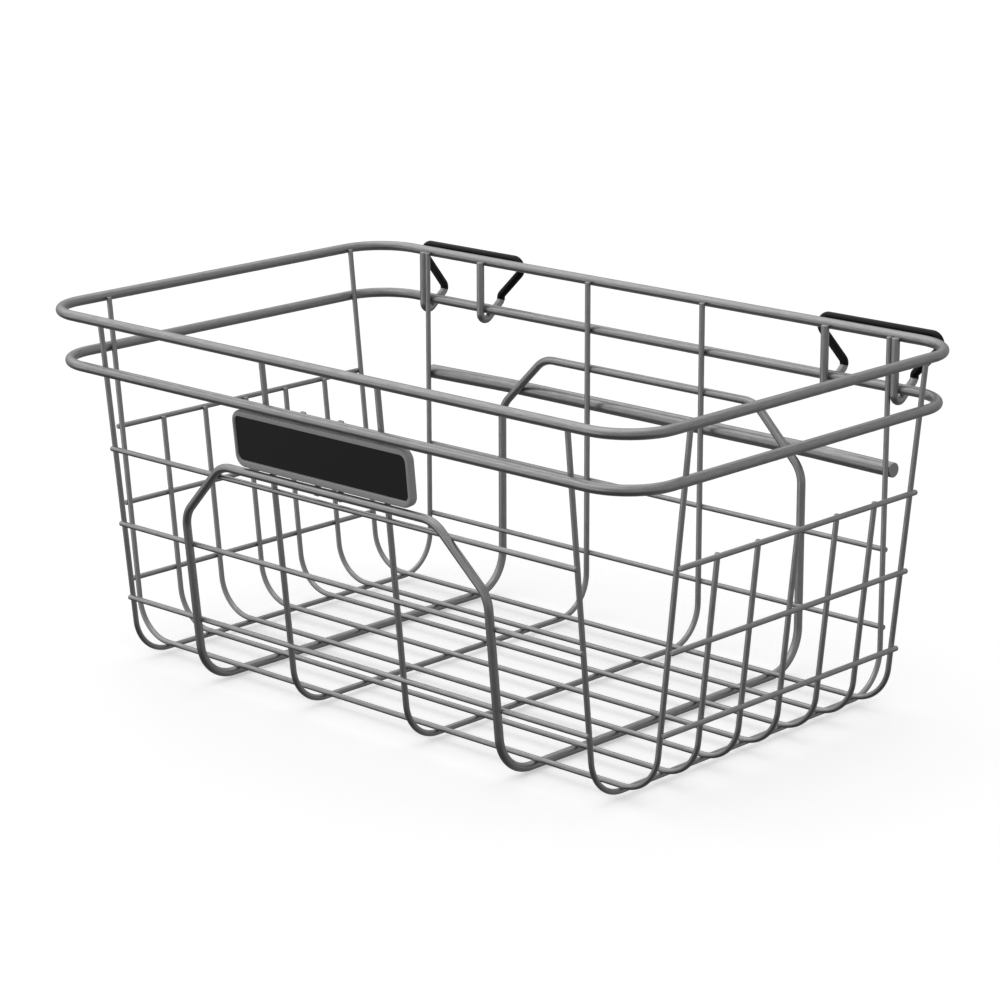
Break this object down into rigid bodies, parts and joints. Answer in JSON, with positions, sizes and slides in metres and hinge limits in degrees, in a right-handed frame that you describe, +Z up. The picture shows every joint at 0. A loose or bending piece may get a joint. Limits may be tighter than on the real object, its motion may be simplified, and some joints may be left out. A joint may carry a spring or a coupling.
{
  "type": "wire basket",
  "caption": "Welded wire storage basket with a doubled rim, a saddle loop round its middle, a bar and sleeved hooks at the back for a wall rail.",
  "frame": {"origin": "on the surface that the basket stands on, under the middle of its overall box", "axes": "+X along the length to the right seen from the front, +Y from the front to the wall, +Z up"},
  "size_m": [0.4638, 0.2995, 0.2148],
  "materials": {
    "grey_powder_coat": "satin mid-grey powder coat on steel wire",
    "black_vinyl": "satin black soft vinyl sleeve",
    "badge_grey": "fine-textured grey moulded plastic",
    "badge_black": "smooth satin black plastic"
  },
  "bodies": {
    "root": {"upper_rim": "grey_powder_coat", "lower_rim": "grey_powder_coat", "saddle_loop": "grey_powder_coat", "wall_bar": "grey_powder_coat", "hook_left": "grey_powder_coat", "hook_right": "grey_powder_coat", "cross_wire_1": "grey_powder_coat", "cross_wire_2": "grey_powder_coat", "cross_wire_3": "grey_powder_coat", "cross_wire_4": "grey_powder_coat", "long_wire_1": "grey_powder_coat", "long_wire_2": "grey_powder_coat", "long_wire_3": "grey_powder_coat", "long_wire_4": "grey_powder_coat", "long_wire_5": "grey_powder_coat", "long_wire_6": "grey_powder_coat", "long_wire_7": "grey_powder_coat", "front_rail_1": "grey_powder_coat", "front_rail_2": "grey_powder_coat", "front_rail_3": "grey_powder_coat", "left_rail_1": "grey_powder_coat", "left_rail_2": "grey_powder_coat", "left_rail_3": "grey_powder_coat", "right_rail_1": "grey_powder_coat", "right_rail_2": "grey_powder_coat", "right_rail_3": "grey_powder_coat", "back_rail_1": "grey_powder_coat", "back_rail_2": "grey_powder_coat", "hook_sleeve_left": "black_vinyl", "hook_sleeve_right": "black_vinyl", "badge_frame": "badge_grey", "badge_plate": "badge_black"}
  },
  "joints": []
}
